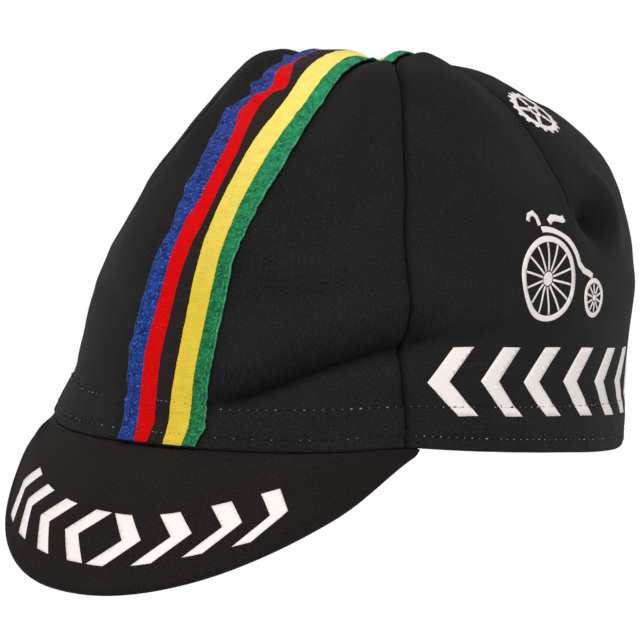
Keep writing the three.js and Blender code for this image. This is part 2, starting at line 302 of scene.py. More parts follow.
def soft_noise(seed, u, v):
    """Smooth noise between -1 and 1, one unit from hill to hill, the same on every run."""
    size = 64
    table = np.random.default_rng(seed).uniform(-1, 1, (size, size))
    u, v = np.broadcast_arrays(np.asarray(u, float), np.asarray(v, float))
    i, j = np.floor(u).astype(int), np.floor(v).astype(int)
    s, t = u - i, v - j
    s, t = s * s * s * (s * (6 * s - 15) + 10), t * t * t * (t * (6 * t - 15) + 10)
    corner = lambda a, b: table[(i + a) % size, (j + b) % size]
    near = corner(0, 0) * (1 - s) + corner(1, 0) * s
    far = corner(0, 1) * (1 - s) + corner(1, 1) * s
    return near * (1 - t) + far * t


def section_row(level):
    """Rise, front, back and side of the crown's sections at a level, through a smooth curve."""
    last = len(SECTIONS) - 1
    place = np.clip(level, 0, 1) * last
    row = np.clip(np.floor(place).astype(int), 0, last - 1)
    t = (place - row)[..., None]
    pick = lambda index: SECTIONS[np.clip(index, 0, last)]
    start, end = pick(row), pick(row + 1)
    before = np.where((row == 0)[..., None], 2 * SECTIONS[0] - SECTIONS[1], pick(row - 1))
    after = np.where((row == last - 1)[..., None], 2 * SECTIONS[last] - SECTIONS[last - 1], pick(row + 2))
    bend = 2 * before - 5 * start + 4 * end - after
    turn = 3 * start - before - 3 * end + after
    return start + 0.5 * ((end - before) * t + bend * t * t + turn * t * t * t)


def oval(level):
    row = section_row(level)
    front, back = row[..., 1] * RIM_LENGTH / 2, row[..., 2] * RIM_LENGTH / 2
    return row[..., 0] * CROWN_HEIGHT, (back - front) / 2, (back + front) / 2, row[..., 3] * RIM_WIDTH / 2


def smooth_crown(azimuth, level):
    azimuth, level = np.broadcast_arrays(np.asarray(azimuth, float), np.asarray(level, float))
    rise, middle, half, side = oval(level)
    row = section_row(level)
    angle = np.radians(azimuth)
    side_of = side_angle(azimuth)
    dip = REAR_DROP * smooth(DIP_START, DIP_FULL, side_of) * (1 - smooth(0, DIP_FADE, level))
    dip = dip - drawn(side_of, RIM_WAVE_PLACES, RIM_WAVE, 5) * (1 - smooth(0, 0.30, level))
    behind = smooth(60, 120, side_of)
    swell = CROWN_HEIGHT * (row[..., 4] * (1 - behind) + row[..., 5] * behind)
    return np.stack([side * np.sin(angle), middle - half * np.cos(angle), rise - dip + swell], -1)


def unit(vectors):
    return vectors / np.maximum(np.linalg.norm(vectors, axis=-1, keepdims=True), 1e-12)


def crown_normal(azimuth, level):
    step, turn = 0.004, 0.2
    around = smooth_crown(azimuth + turn, level) - smooth_crown(azimuth - turn, level)
    higher, lower = np.minimum(level + step, 1), np.maximum(level - step, 0)
    outward = unit(np.cross(around, smooth_crown(azimuth, higher) - smooth_crown(azimuth, lower)))
    top = smooth(0.93, 0.99, level)[..., None]
    return unit(outward * (1 - top) + np.array([0.0, 0.0, 1.0]) * top)


def mm_per_degree(azimuth, level):
    _, _, half, side = oval(level)
    angle = np.radians(azimuth)
    return np.hypot(side * np.cos(angle), half * np.sin(angle)) * math.pi / 180


def panel_relief(side, level):
    """How far each panel bellies out between its seams and its dart."""
    full = smooth(0.10, 0.40, level) * (1 - smooth(0.86, 0.96, level))
    front = hump(side, 0, SIDE_SEAM) * (0.5 + 0.5 * smooth(0.5, 0.85, level))
    split = smooth(DART_END - 0.06, DART_END + 0.12, level)
    whole = 0.4 * hump(side, SIDE_SEAM, 180)
    halves = 0.6 * (hump(side, SIDE_SEAM, DART) * (1 - smooth(0.70, 0.90, level)) + hump(side, DART, 180))
    rear = whole * (1 - split) + halves * split
    return BELLY_DEPTH * full * np.where(side < SIDE_SEAM, front, rear)


def fold_lines(azimuth, rise):
    """The rise above the fold and its strength, for the fold on each side of the crown."""
    side = side_angle(azimuth)
    leftward = np.sin(np.radians(azimuth)) >= 0
    for word, here in (("left", leftward), ("right", ~leftward)):
        places, rises, strengths = np.array(FOLD_PATHS[word]).T
        yield rise - drawn(side, places, rises, 5), here * drawn(side, places, strengths, 4)


def fold_relief(azimuth, rise):
    """Depth of the folds and dents, and how far the cloth above a fold hangs down over it."""
    side = side_angle(azimuth)
    relief, hang = np.zeros_like(side), np.zeros_like(side)
    for above, strength in fold_lines(azimuth, rise):
        strength = strength * FOLD_DEPTH
        width = np.where(above > 0, FOLD_SHAPE["above"], FOLD_SHAPE["below"])
        lip = bell((above - 0.085) / 0.063)
        relief += strength * (FOLD_SHAPE["lip"] * lip - FOLD_SHAPE["depth"] * bell(above / width))
        hang += strength * FOLD_SHAPE["hang"] * bell((above - 0.035) / 0.035)
    crease = UPPER_CREASE
    along = np.clip((side - crease["start"]) / (crease["end"] - crease["start"]), 0, 1)
    line = crease["low"] + (crease["high"] - crease["low"]) * (1 - (1 - along) ** 2)
    depth = FOLD_DEPTH * crease["depth"] * np.sin(math.pi * along) ** 0.75
    relief -= depth * bell((rise - line) / crease["width"])
    for row in DENTS:
        dent = dict(zip(DENT_COLUMNS, row))
        spread = (side - dent["azimuth"]) / dent["spread"]
        relief -= FOLD_DEPTH * dent["depth"] * bell(spread) * bell((rise - dent["rise"]) / dent["tall"])
    return relief, hang


def gather_relief(side, level):
    along = np.clip((side - GATHER_START) / (GATHER_END - GATHER_START), 0, 1)
    strength = smooth(0, 0.2, along) * (1 - smooth(0.8, 1, along)) * (1 - smooth(0.05, 0.3, level))
    return GATHER_DEPTH * strength * np.sin(2 * math.pi * GATHERS * along)


def beside_middle(azimuth, level):
    """Distance from the crown's middle line."""
    return np.abs(oval(level)[3] * np.sin(np.radians(azimuth)))


def ribbon_share(azimuth, level):
    """1 under the ribbon, fading to 0 beside it."""
    return 1 - smooth(RIBBON_WIDTH / 2 - 1.0, RIBBON_WIDTH / 2 + 1.5, beside_middle(azimuth, level))


def seam_wander(azimuth, level):
    """How far the side seam and the dart stray from their azimuths, in degrees."""
    side = side_angle(azimuth)
    shift = np.interp(level, WANDER_LEVELS, SEAM_WANDER) * bell((side - SIDE_SEAM) / 24)
    shift = shift + np.interp(level, WANDER_LEVELS, DART_WANDER) * bell((side - DART) / 20)
    return np.sign(azimuth) * np.where(azimuth > 180, -1, 1) * shift


def seam_and_dart(azimuth, level, dart_top):
    """Distances from the side seam and the dart, behind them above 0, and the dart's strength."""
    side = side_angle(azimuth)
    reach = mm_per_degree(azimuth, level)
    dart = smooth(DART_END - 0.02, DART_END + 0.03, level) * (1 - smooth(*dart_top, level))
    return (side - SIDE_SEAM) * reach, (side - DART) * reach, dart


def sewing_relief(azimuth, level, rise):
    """Seams, the dart, the doubled hem and the pull of its stitches."""
    from_seam, from_dart, dart = seam_and_dart(azimuth, level, (0.95, 0.99))
    drawn_in = 1 + 0.8 * smooth(0.62, 0.85, level)
    relief = -SEAM_DEPTH * drawn_in * bell(from_seam / (SEAM_WIDTH * drawn_in))
    allowance = smooth(0.3, 1.5, from_seam) * (1 - smooth(ALLOWANCE_WIDTH - 1, ALLOWANCE_WIDTH, from_seam))
    relief += ALLOWANCE_LIFT * allowance
    relief -= 0.40 * SEAM_DEPTH * dart * bell(from_dart / SEAM_WIDTH)
    relief += 0.25 * dart * bell((from_dart + 2.2) / 2.0)
    relief -= 0.35 * dart * smooth(-0.2, 0.6, from_dart) * (1 - smooth(2.5, 8.0, from_dart))
    height = rise * CROWN_HEIGHT
    relief += HEM_LIFT * (1 - smooth(HEM_TOP - 0.4, HEM_TOP + 0.9, height))
    around = azimuth * mm_per_degree(azimuth, level)
    pull = 0.65 + 0.35 * np.cos(2 * math.pi * around / STITCH_PITCH)
    for row, depth in ((HEM_TOP, 0.26), (HEM_FOOT, 0.20)):
        relief -= depth * pull * bell((height - row) / 0.9)
    pucker = soft_noise(5, around / 6.0, height / 30.0) * 0.22
    relief += pucker * (bell((height - HEM_TOP) / 7.0) + 0.8 * bell((height - HEM_FOOT) / 4.0))
    seam_pucker = soft_noise(9, height / 6.5, side_angle(azimuth) / 40.0) * 0.28
    relief += seam_pucker * (bell(from_seam / 7.0) + dart * bell(from_dart / 6.0))
    return relief


def shadow(azimuth, level):
    """How dark the cloth is where the seams, the dart and the folds hold shadow, up to 1."""
    side, rise = side_angle(azimuth), section_row(level)[..., 0]
    from_seam, from_dart, dart = seam_and_dart(azimuth, level, (0.93, 0.98))
    dark = 0.85 * bell(from_seam / 0.40) + 0.22 * bell(from_seam / 1.8)
    line_end = 2.1 + 2.0 * smooth(0.55, 0.75, level)
    line = smooth(-0.3, 0.0, from_dart) * (1 - smooth(1.0, line_end, from_dart))
    dark = dark + dart * (0.95 * line + 0.30 * bell((from_dart - 2.0) / 2.2))
    hollow = bell((side - 102.5) / 5.5) * bell((rise - 0.550) / 0.055)
    below = smooth(0, 0.5, from_dart) * (1 - smooth(4, 9, from_dart)) * bell((rise - 0.60) / 0.09)
    dark = dark + 0.75 * hollow + 0.40 * below
    for above, strength in fold_lines(azimuth, rise):
        dark = dark + 0.45 * strength * bell((above - 0.004) / 0.038)
    return np.clip(dark, 0, 1)


def wrinkle_relief(azimuth, level, rise):
    """The soft unevenness of washed cotton."""
    around = azimuth * mm_per_degree(azimuth, level)
    height = rise * CROWN_HEIGHT + 40 * level
    broad = 0.55 * soft_noise(1, around / 34 + 7, height / 26)
    middle = 0.22 * soft_noise(2, around / 15 + 3, height / 11)
    fine = 0.07 * soft_noise(3, around / 6, height / 5)
    return (broad + middle + fine) * smooth(0.03, 0.2, level) * (1 - smooth(0.8, 0.95, level))


def top_relief(x, y):
    """How far the creases and humps of the top raise a place given in plan."""
    rise = np.zeros_like(x)
    for beside, behind, way, reach, width, height in TOP_FORMS:
        c, s = math.cos(math.radians(way)), math.sin(math.radians(way))
        along = (y - behind) * c - (x - beside) * s
        across = (x - beside) * c + (y - behind) * s
        rise += height * bell(along / reach) * bell(across / width)
    return rise


def crown(azimuth, level, lift=0.0, sewn=True):
    """A point on the crown's outer face, or further out by lift."""
    azimuth, level = np.broadcast_arrays(np.asarray(azimuth, float), np.asarray(level, float))
    side = side_angle(azimuth)
    rise = section_row(level)[..., 0]
    free = 1 - ribbon_share(azimuth, level)
    aside = beside_middle(azimuth, level)
    fade = smooth(0, 0.08, level) * (1 - smooth(0.84, 0.94, level))
    folds, hang = fold_relief(azimuth, rise)
    high = smooth(0.45, 0.65, level)
    held = 1 - (1 - smooth(11, 30, aside)) * high
    relief = (panel_relief(side, level) + folds * fade) * held + gather_relief(side, level)
    relief = relief - RIBBON_PULL * bell((aside - RIBBON_WIDTH / 2) / 6) * high
    if sewn:
        relief = relief + (sewing_relief(azimuth, level, rise) + wrinkle_relief(azimuth, level, rise)) * free
    turned = azimuth + seam_wander(azimuth, level)
    point = smooth_crown(turned, level) + crown_normal(turned, level) * (relief + lift)[..., None]
    point[..., 2] += smooth(0.5, 0.65, level) * top_relief(point[..., 0], point[..., 1]) - hang * fade
    return point


def level_at(x, y):
    """The azimuth and the level of a place in plan near the top, by halving."""
    low, high = np.full(np.shape(x), 0.4), np.full(np.shape(x), 1.0)
    for _ in range(40):
        level = (low + high) / 2
        _, middle, half, side = oval(level)
        inside = np.hypot(x / np.maximum(side, 1e-6), (y - middle) / half) < 1
        low, high = np.where(inside, level, low), np.where(inside, high, level)
    _, middle, half, side = oval(low)
    return np.arctan2(x / side, (middle - y) / half), low


def ribbon_place(x, level, behind):
    """Azimuth and level on the crown, beside the ribbon's middle line by x."""
    _, middle, half, side = oval(level)
    slant = np.arcsin(np.clip(x / side, -1, 1))
    azimuth = np.where(behind, math.pi - slant, slant)
    plan_azimuth, plan_level = level_at(x, np.where(behind, middle + half, middle - half))
    plan_azimuth = np.where(behind & (plan_azimuth < 0), plan_azimuth + 2 * math.pi, plan_azimuth)
    blend = smooth(0.50, 0.64, level)
    return np.degrees(azimuth + (plan_azimuth - azimuth) * blend), level + (plan_level - level) * blend


def ribbon_point(x, along, lift):
    """A point of the ribbon. Along runs from -1 at the front rim over 0 at the top to 1 behind."""
    x, along, lift = np.broadcast_arrays(x, along, lift)
    behind = along > 0
    climb = np.clip((1 - np.abs(along)) / (1 - TOP_SHARE), 0, 1)
    rim = RIBBON_INSET * LEVEL_PER_MM
    level = rim + (TOP_LEVEL - rim) * climb
    azimuth, level = ribbon_place(x, level, behind)
    _, middle, half, _ = oval(np.array(TOP_LEVEL))
    over = np.abs(along) < TOP_SHARE
    top_azimuth, top_level = level_at(x, middle + half * np.clip(along / TOP_SHARE, -1, 1))
    azimuth = np.where(over, np.degrees(top_azimuth), azimuth)
    return crown(azimuth, np.where(over, top_level, level), lift, sewn=False)


def new_object(name, vertices, faces, uvs, dark=None):
    """A mesh object in metres from points in millimetres, with a UV pair and a shadow for each vertex."""
    mesh = bpy.data.meshes.new(name)
    vertices = np.asarray(vertices, np.float64).reshape(-1, 3) * MM
    faces = np.asarray(faces, np.int32)
    count, corners = faces.shape
    mesh.vertices.add(len(vertices))
    mesh.vertices.foreach_set("co", vertices.astype(np.float32).ravel())
    mesh.loops.add(faces.size)
    mesh.loops.foreach_set("vertex_index", faces.ravel())
    mesh.polygons.add(count)
    mesh.polygons.foreach_set("loop_start", np.arange(count, dtype=np.int32) * corners)
    mesh.polygons.foreach_set("loop_total", np.full(count, corners, np.int32))
    mesh.update(calc_edges=True)
    uvs = (np.asarray(uvs).reshape(-1, 2) * MM)[faces.ravel()]
    mesh.uv_layers.new(name="cloth").data.foreach_set("uv", uvs.astype(np.float32).ravel())
    if dark is not None:
        shadows = mesh.attributes.new("shadow", "FLOAT", "POINT")
        shadows.data.foreach_set("value", dark.astype(np.float32).ravel())
    mesh.validate()
    mesh.polygons.foreach_set("use_smooth", np.ones(len(mesh.polygons), bool))
    thing = bpy.data.objects.new(name, mesh)
    bpy.context.scene.collection.objects.link(thing)
    return thing


def grid_faces(rows, columns):
    """Quads of a grid whose points lie row after row."""
    i, j = np.meshgrid(np.arange(rows - 1), np.arange(columns - 1), indexing="ij")
    a = (i * columns + j).ravel()
    return np.stack([a, a + 1, a + columns + 1, a + columns], -1)


def arc_lengths(points, axis):
    steps = np.linalg.norm(np.diff(points, axis=axis), axis=-1)
    zero = np.zeros_like(np.take(steps, [0], axis=axis))
    return np.concatenate([zero, np.cumsum(steps, axis=axis)], axis=axis)


def closed_sheet(name, profile_points, uvs, turned, dark=None):
    """A closed body from a grid whose rows run down the outer face, round the hem and up inside.
    The two free sides and the top are closed by walls between the outer and the inner rows."""
    rows, columns = profile_points.shape[:2]
    faces = [grid_faces(rows, columns)]
    half = rows // 2
    for column, flip in ((0, False), (columns - 1, True)):
        outer = np.arange(0, half) * columns + column
        inner = (rows - 1 - np.arange(0, half)) * columns + column
        wall = np.stack([outer[:-1], outer[1:], inner[1:], inner[:-1]], -1)
        faces.append(wall[:, ::-1] if flip else wall)
    top, last = np.arange(columns), (rows - 1) * columns
    faces.append(np.stack([top[1:], top[:-1], last + top[:-1], last + top[1:]], -1))
    faces = np.concatenate(faces)
    if turned:
        faces = faces[:, ::-1]
    return new_object(name, profile_points.reshape(-1, 3), faces, uvs.reshape(-1, 2), dark)


def eye_level():
    low, high = 0.9, 1.0
    for _ in range(30):
        level = (low + high) / 2
        low, high = (level, high) if oval(np.array(level))[3] > CROWN_EYE else (low, level)
    return low


def hem_profile(top, rows):
    """Levels and depths down the outer face, round the rolled hem and up the inner face."""
    radius = CLOTH / 2
    start = radius * LEVEL_PER_MM
    outer = start + (top - start) * (1 - np.linspace(0, 1, rows) ** 1.15)
    turn = np.radians(np.linspace(0, 180, 9)[1:-1])
    roll_level = (radius - radius * np.sin(turn)) * LEVEL_PER_MM
    roll_depth = radius - radius * np.cos(turn)
    levels = np.concatenate([outer, roll_level, outer[::-1]])
    depths = np.concatenate([np.zeros(rows), roll_depth, np.full(rows, CLOTH)])
    return levels, depths


def crowded(start, end, columns):
    """Azimuths from start to end, closer together beside the seams and the dart."""
    fine = np.linspace(start, end, 4000)
    density = 1 + 4 * bell((fine - SIDE_SEAM) / 1.6) + 7 * bell((fine - DART) / 1.1)
    share = np.cumsum(density) - density[0]
    return np.interp(np.linspace(0, share[-1], columns), share, fine)


def crown_panel(name, node, start, end, turning, columns, rows):
    """A crown panel between two seams. Turning is 1 for the wearer's left and -1 for the right."""
    levels, depths = hem_profile(eye_level(), rows)
    if len(levels) % 2:
        levels, depths = np.delete(levels, rows + 3), np.delete(depths, rows + 3)
    level, azimuth = np.meshgrid(levels, crowded(start, end, columns), indexing="ij")
    inset = SEAM_GAP / 2 / mm_per_degree(azimuth, level)
    azimuth = turning * np.clip(azimuth, start + inset, end - inset)
    # The inner face follows the outer one, so that the wall keeps its thickness
    points = crown(azimuth, level, -depths[:, None])
    middle = points[:, columns // 2]
    up = arc_lengths(middle[::-1], 0)[::-1]
    across = arc_lengths(points, 1)
    across = across - across[:, columns // 2][:, None]
    uvs = np.stack([across * turning, np.broadcast_to(up[:, None], across.shape)], -1)
    panel = closed_sheet(name, points, uvs, turning > 0, shadow(azimuth, level))
    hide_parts(node)
    return panel


SOCKETS = {
    "roughness": "Roughness", "specular": "Specular IOR Level", "sheen": "Sheen Weight",
    "sheen_roughness": "Sheen Roughness", "sheen_tint": "Sheen Tint",
}


class Value:
    """A number in a node tree, so that a material's sums can be written as sums."""

    def __init__(self, nodes, socket):
        self.nodes, self.socket = nodes, socket

    def __add__(self, other):
        return self.nodes.math("ADD", self, other)

    def __sub__(self, other):
        return self.nodes.math("SUBTRACT", self, other)

    def __mul__(self, other):
        return self.nodes.math("MULTIPLY", self, other)

    def clamped(self):
        """The same number held between 0 and 1."""
        self.socket.node.use_clamp = True
        return self


class Nodes:
    """Short calls for building a material's node tree."""

    def __init__(self, name):
        self.material = bpy.data.materials.new(name)
        self.material.use_nodes = True
        self.tree = self.material.node_tree
        self.shader = self.tree.nodes["Principled BSDF"]
        self.uv = self.add("ShaderNodeUVMap", uv_map="cloth").outputs["UV"]

    def add(self, kind, **values):
        node = self.tree.nodes.new(kind)
        for key, value in values.items():
            setattr(node, key, value)
        return node

    def put(self, value, socket):
        """Gives a socket a number, a colour or the output of another node."""
        if isinstance(value, (int, float)):
            socket.default_value = value
        elif isinstance(value, tuple):
            socket.default_value = (*value, 1.0)
        else:
            self.tree.links.new(getattr(value, "socket", value), socket)

    def math(self, operation, first, second):
        node = self.add("ShaderNodeMath", operation=operation)
        self.put(first, node.inputs[0])
        self.put(second, node.inputs[1])
        return Value(self, node.outputs[0])

    def place(self):
        """The place on the cloth, along U and along V."""
        split = self.add("ShaderNodeSeparateXYZ")
        self.put(self.uv, split.inputs[0])
        return Value(self, split.outputs[0]), Value(self, split.outputs[1])

    def wave(self, turn, pitch, sway=0.0):
        """A ridge pattern between 0 and 1, its way turned from the U axis, its phase moved by sway."""
        u, v = self.place()
        turn, scale = math.radians(turn), 1 / (pitch * MM)
        across = u * (math.cos(turn) * scale) + v * (math.sin(turn) * scale)
        return self.math("SINE", across * (2 * math.pi) + sway, 0.0) * 0.5 + 0.5

    def noise(self, size, detail, roughness=0.55):
        node = self.add("ShaderNodeTexNoise")
        for word, value in (("Scale", 1 / (size * MM)), ("Detail", detail), ("Roughness", roughness)):
            node.inputs[word].default_value = value
        self.put(self.uv, node.inputs["Vector"])
        return Value(self, node.outputs["Fac"])

    def mix(self, factor, first, second, blend="MIX"):
        node = self.add("ShaderNodeMix", data_type="RGBA", blend_type=blend)
        for place, value in ((0, factor), (6, first), (7, second)):
            self.put(value, node.inputs[place])
        return node.outputs[2]

    def bands(self, stops, place):
        """Flat bands of colour, each from its stop to the next."""
        node = self.add("ShaderNodeValToRGB")
        ramp = node.color_ramp
        ramp.interpolation = "CONSTANT"
        while len(ramp.elements) < len(stops):
            ramp.elements.new(1.0)
        for element, (position, _) in zip(ramp.elements, stops):
            element.position = position
        for element, (_, colour) in zip(ramp.elements, stops):
            element.color = (*colour, 1)
        self.put(place, node.inputs[0])
        return node.outputs[0]

    def finish(self, colour, height, distance, strength, **constants):
        """Sets the shader's colour, its bump and its constant values, and returns the material."""
        self.put(colour, self.shader.inputs["Base Color"])
        for word, value in constants.items():
            self.put(value, self.shader.inputs[SOCKETS[word]])
        node = self.add("ShaderNodeBump")
        node.inputs["Strength"].default_value = strength
        node.inputs["Distance"].default_value = distance * MM
        self.put(height, node.inputs["Height"])
        self.put(node.outputs["Normal"], self.shader.inputs["Normal"])
        return self.material


def linear(*colour):
    """Linear values of a colour given as display values from 0 to 255."""
    share = lambda value: ((value / 255 + 0.055) / 1.055) ** 2.4 if value > 10 else value / 255 / 12.92
    return tuple(share(value) for value in colour)


def twill(name, dark, light):
    """Cotton twill: fine diagonal ridges, uneven threads, faded patches, lint and painted shadow."""
    nodes = Nodes(name)
    sway = nodes.noise(3.2, 3.0) * 9.0
    ridges = nodes.wave(58, TWILL_PITCH, sway)
    threads = nodes.wave(0, TWILL_PITCH * 0.62, sway)
    uneven = nodes.noise(0.9, 3.0, 0.75)
    cloth = ridges * 0.40 + threads * 0.25 + (uneven - 0.5) * 2.4 + 0.20
    # Random faded patches of the cloth, its own tone
    fade_and_top_light = (nodes.noise(30, 5.0, 0.65) * 1.3 - 0.42).clamped()
    shade = (cloth * 0.74 + fade_and_top_light * 0.45).clamped()
    lint = nodes.math("GREATER_THAN", nodes.noise(1.6, 1.0), 0.80)
    colour = nodes.mix(shade, linear(*dark), linear(*light))
    colour = nodes.mix(lint * 0.12, colour, linear(120, 116, 114))
    # Painted shadow: the colour goes towards near black where the mesh's shadow share is high, at the seams,
    # the dart, its pocket and the folds
    held = nodes.add("ShaderNodeAttribute", attribute_name="shadow").outputs["Fac"]
    colour = nodes.mix(held, colour, linear(4, 3, 3))
    return nodes.finish(colour, cloth + uneven * 0.5, 0.14, 0.8, roughness=0.85, specular=0.12,
                        sheen=0.03, sheen_roughness=0.45, sheen_tint=(0.80, 0.79, 0.80))


def stripes(name):
    """Woven ribbon: five stripes with a rib across, the colour read from the place across it, painted
    paler over the top as a painted highlight. The blue and the green are figured with darker and lighter
    picks."""
    nodes = Nodes(name)
    u, v = nodes.place()
    across = u * (1 / (RIBBON_WIDTH * MM)) + 0.5 + (nodes.noise(1.2, 2.0) - 0.5) * 0.012
    low, top, figures = [], [], []
    for place, (word, width, *colours), figure in zip(STRIPE_BORDERS, STRIPES, STRIPE_FIGURE):
        figures.append((place, (figure,) * 3))
        for stops, colour in zip((low, top), colours):
            stops.append((place, linear(*colour)))
            if word == "yellow":
                edge = linear(colour[0] + 10, colour[1], colour[2] - 36)
                stops[-1:] = [(place, edge), (place + 0.014, linear(*colour)), (place + width - 0.014, edge)]
            if word == "green":
                stops.append((place + width - 0.016, linear(52, 140, 98)))
    # Painted highlight: the stripes turn paler over the top, most of all the yellow and the green, as if lit
    # more strongly from above
    fade_and_top_light = ((v - TOP_LIGHT_START * MM) * (1 / (TOP_LIGHT_FULL - TOP_LIGHT_START) / MM)).clamped()
    colour = nodes.mix(fade_and_top_light, nodes.bands(low, across), nodes.bands(top, across))
    figure = nodes.bands(figures, across)
    weave = nodes.wave(90, 0.62) * 0.65 + nodes.wave(0, 0.45) * 0.35
    grain = nodes.noise(0.8, 2.0, 0.7)
    uneven = (nodes.noise(3.4, 3.0, 0.6) - 0.5) * 2.6 + (grain - 0.5) * 2.2
    shade = nodes.math("MAXIMUM", uneven * figure + 0.93 + weave * 0.12, 0.35)
    colour = nodes.mix(1.0, colour, shade, "MULTIPLY")
    fleck = ((grain - 0.585) * 6.0).clamped() * figure * 0.38
    colour = nodes.mix(fleck, colour, linear(176, 206, 214))
    return nodes.finish(colour, weave + grain * 0.6, 0.12, 0.8, roughness=0.6, specular=0.05,
                        sheen=0.10, sheen_roughness=0.25)


def ink(name):
    """Rubbery white print that sinks into the weave and is a little worn."""
    nodes = Nodes(name)
    fine = nodes.noise(0.8, 2.0)
    shade = nodes.noise(7.0, 4.0, 0.65) * 0.7 + fine * 0.3
    colour = nodes.mix(shade, linear(222, 211, 208), linear(240, 231, 227))
    return nodes.finish(colour, nodes.wave(58, 0.72) + fine * 0.6, 0.05, 0.5, roughness=0.62, specular=0.3)


def thread(name, colour):
    """Twisted sewing thread."""
    nodes = Nodes(name)
    twist = nodes.noise(0.35, 2.0)
    mixed = nodes.mix(twist, tuple(0.7 * value for value in linear(*colour)), linear(*colour))
    return nodes.finish(mixed, twist, 0.05, 0.5, roughness=0.6, specular=0.12)


def ellipsoids(name, centres, along, outward, length, width, height):
    """Small rounded stitches, all in one mesh. Length, width and height may vary from one to the next."""
    count, rings, sides = len(centres), 5, 8
    along = unit(along)
    across = unit(np.cross(outward, along))
    out = unit(np.cross(along, across))
    theta = np.linspace(0, math.pi, rings + 2)[1:-1]
    phi = np.linspace(0, 2 * math.pi, sides, endpoint=False)
    ring = [(math.cos(t), math.sin(t) * math.cos(p), math.sin(t) * math.sin(p)) for t in theta for p in phi]
    ball = np.array([(1, 0, 0), *ring, (-1, 0, 0)])
    size = np.stack([np.broadcast_to(value, count) for value in (length, width, height)], -1) / 2
    local = ball[None] * size[:, None]
    points = centres[:, None]
    for k, way in enumerate((along, across, out)):
        points = points + local[..., k:k + 1] * way[:, None]
    triangles, last = [], 1 + (rings - 1) * sides
    for s in range(sides):
        n = (s + 1) % sides
        triangles.append((0, 1 + s, 1 + n))
        for a in range(1, last, sides):
            b = a + sides
            triangles += [(a + s, b + s, b + n), (a + s, b + n, a + n)]
        triangles.append((last + s, last + sides, last + n))
    triangles = np.array(triangles)[:, ::-1]
    every = (triangles[None] + np.arange(count)[:, None, None] * len(ball)).reshape(-1, 3)
    uvs = np.stack([local[..., 0] + np.arange(count)[:, None] * 3.1, local[..., 1]], -1)
    return new_object(name, points, every, uvs)


def flat_shape(outlines):
    """A planar mesh of closed outlines, the later ones holes in the first, cut into small cells."""
    loops = [[Vector((x, y, 0)) for x, y in outline] for outline in outlines]
    mesh = bmesh.new()
    places = [mesh.verts.new(point) for loop in loops for point in loop]
    for triangle in tessellate_polygon(loops):
        try:
            mesh.faces.new([places[corner] for corner in triangle])
        except ValueError:
            continue
    bounds = np.array([(v.co.x, v.co.y) for v in mesh.verts]) / INK_CELL
    for normal, low, high in zip((Vector((1, 0, 0)), Vector((0, 1, 0))), bounds.min(0), bounds.max(0)):
        for place in np.arange(math.floor(low) + 1, high):
            geometry = mesh.verts[:] + mesh.edges[:] + mesh.faces[:]
            place = normal * place * INK_CELL
            bmesh.ops.bisect_plane(mesh, geom=geometry, plane_co=place, plane_no=normal, dist=1e-5)
    bmesh.ops.triangulate(mesh, faces=mesh.faces[:])
    bmesh.ops.recalc_face_normals(mesh, faces=mesh.faces[:])
    mesh.verts.index_update()
    points = np.array([(v.co.x, v.co.y) for v in mesh.verts])
    faces = np.array([[v.index for v in face.verts] for face in mesh.faces])
    mesh.free()
    return points, faces


def printed(name, shapes, place):
    """Prints on cloth: each shape is a list of outlines in millimetres, and place(x, y, lift) is the
    point of the cloth that a printed point lies on. The ink is a thin closed skin."""
    vertices, faces, uvs, offset = [], [], [], 0
    for outlines in shapes:
        points, triangles = flat_shape(outlines)
        (ax, ay), (bx, by), (cx, cy) = points[triangles[0]]
        if (bx - ax) * (cy - ay) < (by - ay) * (cx - ax):
            triangles = triangles[:, ::-1]
        count = len(points)
        directed = {pair for a, b, c in triangles for pair in ((a, b), (b, c), (c, a))}
        border = sorted((a, b) for a, b in directed if (b, a) not in directed)
        walls = [(a, a + count, b + count) for a, b in border] + [(a, b + count, b) for a, b in border]
        faces.append(np.concatenate([triangles, triangles[:, ::-1] + count, np.array(walls)]) + offset)
        vertices += [place(points[:, 0], points[:, 1], lift) for lift in (INK_LIFT, -INK_DEPTH)]
        uvs += [points, points]
        offset += 2 * count
    return new_object(name, np.concatenate(vertices), np.concatenate(faces), np.concatenate(uvs))


def finish_piece(piece, material):
    piece.data.materials.append(material)
    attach(piece, "root")
    return piece


def make_panels(material):
    for turning, word in ((1, "left"), (-1, "right")):
        front = crown_panel(f"front_{word}_cloth", f"front_{word}_panel", 0, SIDE_SEAM, turning, 84, 160)
        rear = crown_panel(f"rear_{word}_cloth", f"rear_{word}_panel", SIDE_SEAM, 180, turning, 200, 160)
        finish_piece(front, material)
        finish_piece(rear, material)


def ribbon_cloth(u, along):
    """Distance beside the middle line and height over the crown of a place on the ribbon, where u
    is its share of the width."""
    lines = [np.interp(along, STRIPE_LINES[:, 0], line) for line in STRIPE_LINES[:, 1:7].T]
    x = np.zeros(np.shape(u))
    for low, high, line, following in zip(STRIPE_BORDERS, STRIPE_BORDERS[1:], lines, lines[1:]):
        x = x + np.clip((u - low) / (high - low), 0, 1) * (following - line)
    x = x + lines[0]
    edge = np.abs(2 * u - 1)
    x = x + edge ** 3 * (0.30 * soft_noise(23, along * 30, u * 1.5) + 0.22 * soft_noise(24, along * 75, u))
    pucker = 0.22 * (1 + soft_noise(25, along * 40, u * 2.5)) * smooth(0.45, 1.0, edge)
    pucker = pucker + 0.12 * (1 + soft_noise(26, along * 85, u * 4.0))
    pucker = pucker + 0.22 * (1 + soft_noise(27, along * 14, u * 2.0))
    for place, beside, spread, width, height in PINCHES:
        lean = (along - place) + 0.003 * (x - beside)
        pucker = pucker + height * bell(lean / spread) * bell((x - beside) / width)
    stitched = 0.30 * bell((edge - 0.88) / 0.05) * (0.6 + 0.4 * np.cos(along * 560))
    return x, RIBBON_LIFT + np.maximum(pucker - stitched, 0)


